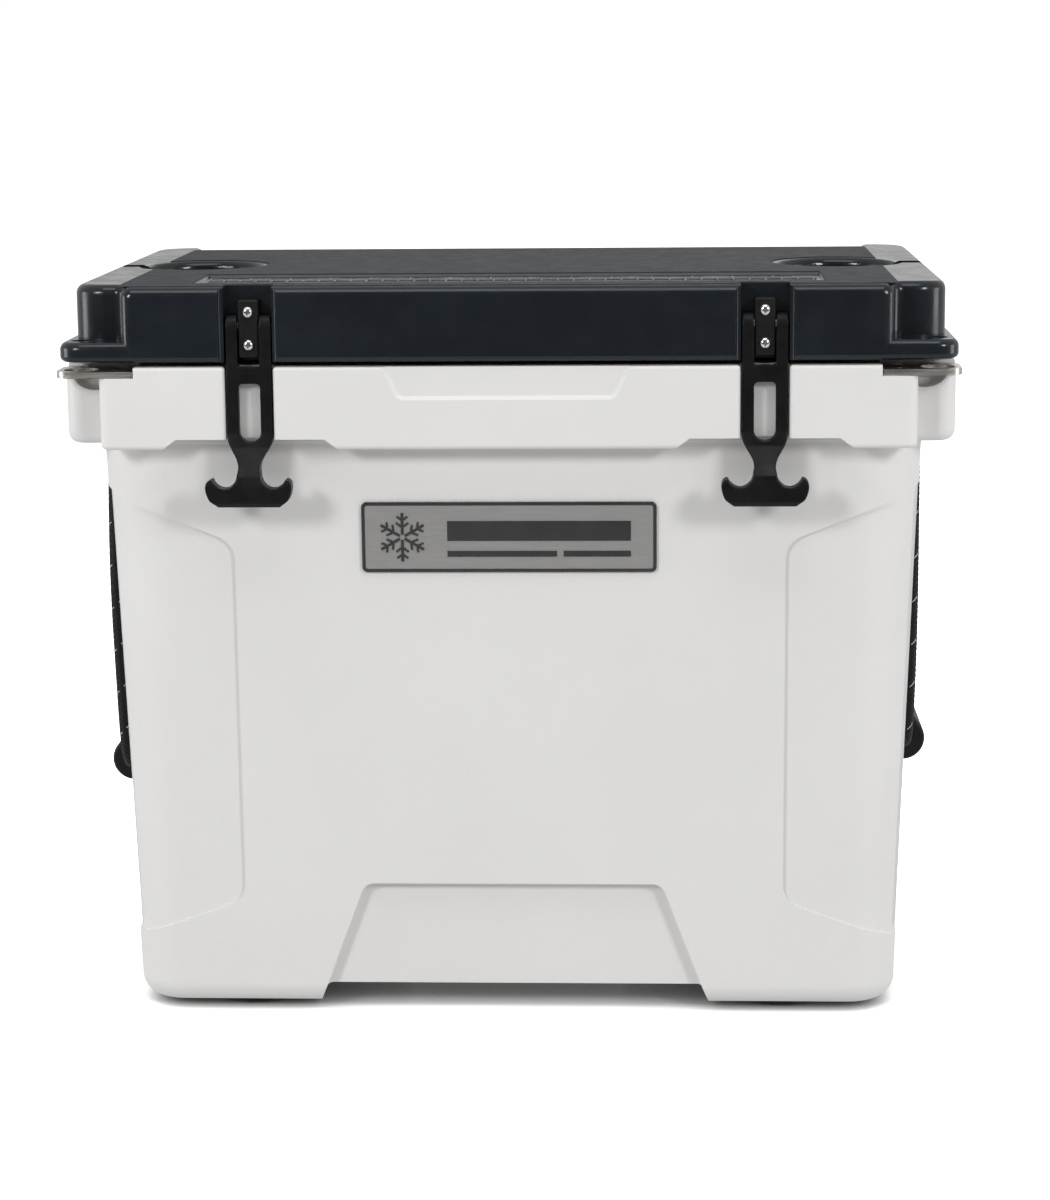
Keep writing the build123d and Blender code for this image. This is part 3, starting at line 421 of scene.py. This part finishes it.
def dress_all():
    """Puts the right material on each CAD node and returns the materials by name."""
    kinds = {
        "white": moulded_white(),
        "slate": moulded_slate(),
        "latch": rubber("latch_rubber", (0.0036, 0.0036, 0.0036), 0.40),
        "grip": rubber("grip_rubber", (0.0085, 0.0085, 0.0088), 0.46, 420),
        "foot": rubber("foot_rubber", (0.014, 0.014, 0.014), 0.62, 520, 0.5),
        "seal": rubber("seal_rubber", (0.010, 0.010, 0.010), 0.60, 900),
        "nylon": rubber("black_plastic", (0.0110, 0.0110, 0.0112), 0.36, 1100, 0.15),
        "steel": brushed("steel", (0.56, 0.53, 0.49), 0.27, (0.05, 1.0, 1.0)),
        "chrome": chrome(),
        "gloss": gloss_black(),
        "plate": satin_plate(),
        "rope": yarn("rope", (0.0050, 0.0050, 0.0056)),
        "tracer": yarn("rope_tracer", (0.60, 0.60, 0.62)),
        # ruler marks: the lid's slate made much lighter, a painted highlight standing in for glints on
        # the raised ticks
        "scale": rubber("ruler_painted_highlight", (0.120, 0.130, 0.135), 0.34, 900),
        "foam": foam(),
    }
    begins = {
        "body_shell": "white",
        "body_liner": "white",
        "body_foam": "foam",
        "lid_shell": "slate",
        "lid_foam": "foam",
        "lid_gasket": "seal",
        "drain_fitting": "nylon",
        "drain_plug": "nylon",
        "drain_seal": "seal",
        "hinge_rod": "steel",
        "latch_left": "latch",
        "latch_right": "latch",
        "latch_bracket": "nylon",
        "latch_pin": "steel",
        "latch_screws": "chrome",
        "lock_plate_left": "steel",
        "lock_plate_right": "steel",
        "lock_plate_screws": "chrome",
        "nameplate_bezel": "gloss",
        "nameplate_face": "plate",
        "foot_front": "foot",
        "foot_rear": "foot",
        "foot_screws": "chrome",
        "rope": "rope",
        "grip": "grip",
    }
    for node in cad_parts:
        fitting = [start for start in begins if node.startswith(start)]
        dress(node, kinds[begins[max(fitting, key=len)]])
    return kinds


# ---------------------------------------------------------------- mesh helpers
def add_piece(name, mesh, materials, body, smooth=True):
    """Links a mesh as a piece that rides on a body and takes its finish from a slot."""
    if smooth:
        mesh.shade_smooth()
    for material in materials:
        mesh.materials.append(material)
    piece = bpy.data.objects.new(name, mesh)
    bpy.context.scene.collection.objects.link(piece)
    if body is not None:
        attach(piece, body)
    return piece


def soften(node, name, voxel, passes):
    """A finely remeshed and smoothed copy of a CAD node, as moulded rubber looks."""
    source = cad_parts[node]
    shape = bmesh.new()
    shape.from_mesh(source.data)
    shape.transform(source.matrix_world)
    bmesh.ops.remove_doubles(shape, verts=shape.verts, dist=2e-5)
    mesh = bpy.data.meshes.new(name)
    shape.to_mesh(mesh)
    shape.free()
    holder = bpy.data.objects.new(name + "_work", mesh)
    bpy.context.scene.collection.objects.link(holder)
    remesh = holder.modifiers.new("remesh", "REMESH")
    remesh.mode = "VOXEL"
    remesh.voxel_size = voxel
    smooth = holder.modifiers.new("smooth", "SMOOTH")
    smooth.factor = 0.5
    smooth.iterations = passes
    ready = holder.evaluated_get(bpy.context.evaluated_depsgraph_get())
    made = bpy.data.meshes.new_from_object(ready)
    made.name = name
    bpy.data.objects.remove(holder)
    made.materials.clear()
    return made


def rib(shape, start, end, width, height):
    """A half-round bar on a level surface from start to end, with rounded ends."""
    start, end = Vector(start), Vector(end)
    along = (end - start).normalized()
    across = Vector((-along.y, along.x, 0.0))
    half = width / 2
    rings = []
    reach = (end - start).length
    for share, scale in ((0.0, 0.35), (half * 0.5, 0.85), (half, 1.0), (reach - half, 1.0),
                         (reach - half * 0.5, 0.85), (reach, 0.35)):
        middle = start + along * share
        ring = []
        for step in range(7):
            angle = math.pi * step / 6
            offset = across * (math.cos(angle) * half * scale)
            rise = Vector((0, 0, math.sin(angle) * height * scale))
            ring.append(shape.verts.new(middle + offset + rise))
        rings.append(ring)
    for first, second in zip(rings, rings[1:]):
        for step in range(6):
            shape.faces.new((first[step], first[step + 1], second[step + 1], second[step]))
        shape.faces.new((first[0], second[0], second[6], first[6]))
    shape.faces.new(tuple(reversed(rings[0])))
    shape.faces.new(tuple(rings[-1]))


def finish_mesh(shape, name):
    """Closes a bmesh into a mesh with its faces turned outwards."""
    bmesh.ops.recalc_face_normals(shape, faces=shape.faces)
    mesh = bpy.data.meshes.new(name)
    shape.to_mesh(mesh)
    shape.free()
    return mesh


# ---------------------------------------------------------------- ropes
ROPE_X = {"left": 0.2595, "right": 0.2560}
ROPE_BULGE = {"left": 0.0015, "right": 0.0002}
ROPE_Y = 0.080
PIVOT_Z = 0.365
GRIP_LEVEL = {"left": 0.146, "right": 0.161}
GRIP_INWARD = 0.002


def rope_route(side_name, side):
    """Points that steer one rope: from the front ear down, through the grip, and up."""
    top = ROPE_X[side_name]
    out = ROPE_BULGE[side_name]
    level = GRIP_LEVEL[side_name]
    return [
        (side * top, -ROPE_Y, PIVOT_Z),
        (side * (top + 0.8 * out), -0.0810, 0.320),
        (side * (top + out), -0.0823, 0.264),
        (side * (top - 0.0003), -0.0830, level + 0.062),
        (side * (top - 0.0012), -0.0824, level + 0.029),
        (side * (top - 0.0017), -0.0796, level + 0.0105),
        (side * (top - GRIP_INWARD), -0.0700, level),
        (side * (top - GRIP_INWARD), -0.0558, level),
        (side * (top - GRIP_INWARD), 0.0567, level),
        (side * (top - GRIP_INWARD), 0.0705, level),
        (side * (top - 0.0016), 0.0800, level + 0.010),
        (side * (top - 0.0010), 0.0828, level + 0.028),
        (side * (top - 0.0001), 0.0832, level + 0.060),
        (side * (top + out), 0.0824, 0.262),
        (side * (top + 0.8 * out), 0.0810, 0.321),
        (side * top, ROPE_Y, PIVOT_Z),
    ]


def smooth_line(name, points):
    """Close points on the smooth line that the given points steer."""
    curve = bpy.data.curves.new(name, "CURVE")
    curve.dimensions = "3D"
    curve.resolution_u = 24
    spline = curve.splines.new("NURBS")
    spline.points.add(len(points) - 1)
    for held, place in zip(spline.points, points):
        held.co = (*place, 1.0)
    spline.order_u = 3
    spline.use_endpoint_u = True
    spline.resolution_u = 24
    holder = bpy.data.objects.new(name, curve)
    mesh = bpy.data.meshes.new_from_object(holder)
    found = [corner.co.copy() for corner in mesh.vertices]
    bpy.data.objects.remove(holder)
    bpy.data.meshes.remove(mesh)
    return found


def evenly(points, step):
    """The same line with points about one step apart, and the distance of each from the start."""
    reach = [0.0]
    for before, after in zip(points, points[1:]):
        reach.append(reach[-1] + (after - before).length)
    count = max(2, round(reach[-1] / step))
    places = []
    at = 0
    for number in range(count + 1):
        goal = reach[-1] * number / count
        while at < len(points) - 2 and reach[at + 1] < goal:
            at += 1
        span = reach[at + 1] - reach[at]
        share = (goal - reach[at]) / span if span > 0 else 0.0
        places.append(points[at].lerp(points[at + 1], share))
    return places, reach[-1] / count


def frames_along(places):
    """For each place a pair of directions square to the line, turning as little as they can."""
    directions = []
    for number in range(len(places)):
        before = places[max(0, number - 1)]
        after = places[min(len(places) - 1, number + 1)]
        directions.append((after - before).normalized())
    side = directions[0].orthogonal().normalized()
    frames = []
    for direction in directions:
        side = (side - direction * side.dot(direction)).normalized()
        frames.append((side, direction.cross(side)))
    return frames


CARRIERS = 8
LAY = 0.028
STRAND_R = 0.00415
STRAND_WAVE = 0.00030
STRAND_HALF_WIDTH = 0.00150
STRAND_HALF_THICK = 0.00058
TRACER_SHARE = 0.26
TRACER_LIFT = 0.00045


def strand_line(places, frames, step, number, turn, lift):
    """Centre points and outward directions of one strand of the braid."""
    line = []
    for at, (place, (first, second)) in enumerate(zip(places, frames)):
        far = at * step
        crossing = 2 * CARRIERS * far / LAY
        angle = 2 * math.pi * (number / CARRIERS + turn * far / LAY)
        phase = 2 * number + turn * crossing - 0.5
        wave = turn * math.cos(math.pi / 2 * phase)
        outward = first * math.cos(angle) + second * math.sin(angle)
        line.append((place + outward * (STRAND_R + STRAND_WAVE * wave + lift), outward))
    return line


def tube_rings(shape, rings, material):
    """Skins a row of rings and closes both ends."""
    count = len(rings[0])
    made = []
    for first, second in zip(rings, rings[1:]):
        for step in range(count):
            following = (step + 1) % count
            made.append(
                shape.faces.new((first[step], first[following], second[following], second[step]))
            )
    made.append(shape.faces.new(tuple(reversed(rings[0]))))
    made.append(shape.faces.new(tuple(rings[-1])))
    for face in made:
        face.material_index = material


def braid_mesh(name, line, fine=0.0013):
    """A braided rope along a line: a core, 16 strands over and under in pairs, and a thin tracer."""
    places, step = evenly(line, fine)
    frames = frames_along(places)
    shape = bmesh.new()
    core = []
    for at in sorted({*range(0, len(places), 2), len(places) - 1}):
        first, second = frames[at]
        ring = []
        for corner in range(14):
            angle = 2 * math.pi * corner / 14
            spoke = first * math.cos(angle) + second * math.sin(angle)
            ring.append(shape.verts.new(places[at] + spoke * (STRAND_R - 0.0002)))
        core.append(ring)
    tube_rings(shape, core, 0)
    yarns = [(turn, number, 1.0, 0.0) for turn in (-1, 1) for number in range(CARRIERS)]
    yarns.append((1, 0, TRACER_SHARE, TRACER_LIFT))
    for turn, number, share, lift in yarns:
        strand = strand_line(places, frames, step, number, turn, lift)
        rings = []
        for at, (centre, outward) in enumerate(strand):
            before = strand[max(0, at - 1)][0]
            after = strand[min(len(strand) - 1, at + 1)][0]
            across = (after - before).normalized().cross(outward).normalized()
            ring = []
            for corner in range(8):
                angle = 2 * math.pi * corner / 8
                wide = across * (math.cos(angle) * STRAND_HALF_WIDTH * share)
                thick = outward * (math.sin(angle) * STRAND_HALF_THICK * share)
                ring.append(shape.verts.new(centre + wide + thick))
            rings.append(ring)
        tube_rings(shape, rings, 1 if lift else 0)
    return finish_mesh(shape, name), places


def make_rope(side_name, side, kinds):
    """One rope handle's braid, which bends where it leaves the ears, and its short upper ends."""
    x = side * ROPE_X[side_name]
    line = smooth_line(f"rope_line_{side_name}", rope_route(side_name, side))
    mesh, places = braid_mesh(f"rope_braid_{side_name}", line)
    rope = add_piece(f"rope_braid_{side_name}", mesh, [kinds["rope"], kinds["tracer"]], None)
    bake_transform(rope)
    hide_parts(f"rope_{side_name}")
    for end_name, y in (("front", -ROPE_Y), ("rear", ROPE_Y)):
        top = [Vector((x, y, PIVOT_Z - 0.001)), Vector((x, y, PIVOT_Z + 0.012))]
        name = f"rope_top_{end_name}_{side_name}"
        mesh, _ = braid_mesh(name, top)
        add_piece(name, mesh, [kinds["rope"], kinds["tracer"]], "tub")


# ---------------------------------------------------------------- ruler on the lid
RULER_Y = -0.1140
RULER_HALF_LENGTH = 0.192
RULER_DEPTH = 0.0023
MARK_GAP = 0.0012
MARK_WIDTH = 0.0013
MARK_HEIGHT = 0.0011
CENTIMETRE = 0.010
HALF_INCH = 0.0127


def make_ruler(kinds):
    """Raised scale in the lid's recess: a long rib, centimetres in front, half inches behind."""
    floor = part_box("lid_shell")[1][2] - RULER_DEPTH
    half = RULER_HALF_LENGTH
    shape = bmesh.new()
    rib(shape, (-half, RULER_Y, floor), (half, RULER_Y, floor), 0.0016, 0.0013)

    def mark(x, side, reach):
        """One mark that runs forward (-1) or back (1) from the long rib."""
        near = RULER_Y + side * MARK_GAP
        far = RULER_Y + side * reach
        rib(shape, (x, near, floor), (x, far, floor), MARK_WIDTH, MARK_HEIGHT)

    for number in range(39):
        mark(-0.190 + CENTIMETRE * number, -1, 0.0150 if number % 5 == 0 else 0.0105)
    for number in range(30):
        mark(-0.1905 + HALF_INCH * number, 1, 0.0140 if number % 2 == 0 else 0.0080)
    mesh = finish_mesh(shape, "ruler_marks")
    # the marks take the lighter ruler material, a painted highlight
    add_piece("ruler_marks", mesh, [kinds["scale"]], "lid")


# ---------------------------------------------------------------- nameplate marks
def slab(shape, corners, origin, upright, thick):
    """A thin raised tile on the nameplate, drawn in a little at the top."""
    outward = Vector((0.0, -upright.z, upright.y))
    middle = Vector((sum(x for x, _ in corners), sum(z for _, z in corners))) / len(corners)
    low, high = [], []
    for x, z in corners:
        pull = (middle - Vector((x, z))).normalized() * (thick * 0.45)
        low.append(shape.verts.new(origin + Vector((x, 0, 0)) + upright * z - outward * 0.0002))
        at = origin + Vector((x + pull.x, 0, 0)) + upright * (z + pull.y)
        high.append(shape.verts.new(at + outward * thick))
    count = len(corners)
    shape.faces.new(high)
    shape.faces.new(tuple(reversed(low)))
    for step in range(count):
        following = (step + 1) % count
        shape.faces.new((low[step], low[following], high[following], high[step]))


def bar_corners(start, end, width):
    """Corners of a straight bar between two points of the plate."""
    start, end = Vector(start), Vector(end)
    along = (end - start).normalized()
    across = Vector((-along.y, along.x)) * (width / 2)
    return [start - across, end - across, end + across, start + across]


PLATE_LEAN = 2.07  # degrees, the draft of the tub's front wall
MARK_RISE = 0.0005
FLAKE_CENTRE = (-0.0665, 0.0)
PLATE_BARS = (
    ((-0.0385, 0.0040), (0.0760, 0.0040), 0.0125),
    ((-0.0385, -0.0105), (0.0300, -0.0105), 0.0036),
    ((0.0340, -0.0105), (0.0760, -0.0105), 0.0036),
)


def snowflake_bars():
    """Start, end and width of each bar of the snowflake: six arms with two pairs of branches."""
    centre = Vector(FLAKE_CENTRE)
    bars = []
    for arm in range(6):
        angle = math.radians(60 * arm + 30)
        along = Vector((math.cos(angle), math.sin(angle)))
        bars.append((centre + along * 0.0016, centre + along * 0.0155, 0.0017))
        for reach, length in ((0.0062, 0.0040), (0.0106, 0.0034)):
            for turn in (-1, 1):
                tilt = angle + turn * math.radians(52)
                branch = Vector((math.cos(tilt), math.sin(tilt)))
                start = centre + along * reach + branch * 0.0010
                bars.append((start, start + branch * length, 0.0014))
    return bars


def make_nameplate_marks(kinds):
    """A plain snowflake and three bars without letters, raised on the nameplate."""
    low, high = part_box("nameplate_face")
    lean = math.radians(PLATE_LEAN)
    upright = Vector((0.0, -math.sin(lean), math.cos(lean)))
    half_height = (high[2] - low[2]) / 2
    origin = Vector((0.0, low[1] + half_height * math.tan(lean), (low[2] + high[2]) / 2))
    shape = bmesh.new()
    for start, end, width in (*snowflake_bars(), *PLATE_BARS):
        slab(shape, bar_corners(start, end, width), origin, upright, MARK_RISE)
    mesh = finish_mesh(shape, "nameplate_marks")
    add_piece("nameplate_marks", mesh, [kinds["gloss"]], "tub", smooth=False)


# ---------------------------------------------------------------- latches
SOFT_VOXEL = 0.00060
SOFT_PASSES = 2


def make_latches(kinds):
    """Softened copies of both latches."""
    for side_name in ("left", "right"):
        mesh = soften(f"latch_{side_name}", f"latch_soft_{side_name}", SOFT_VOXEL, SOFT_PASSES)
        piece = add_piece(
            f"latch_soft_{side_name}", mesh, [kinds["latch"]], f"latch_{side_name}"
        )
        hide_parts(f"latch_{side_name}")


make_camera()
make_studio()
kinds = dress_all()
for side_name, side in (("left", -1), ("right", 1)):
    make_rope(side_name, side, kinds)
make_ruler(kinds)
make_nameplate_marks(kinds)
make_latches(kinds)
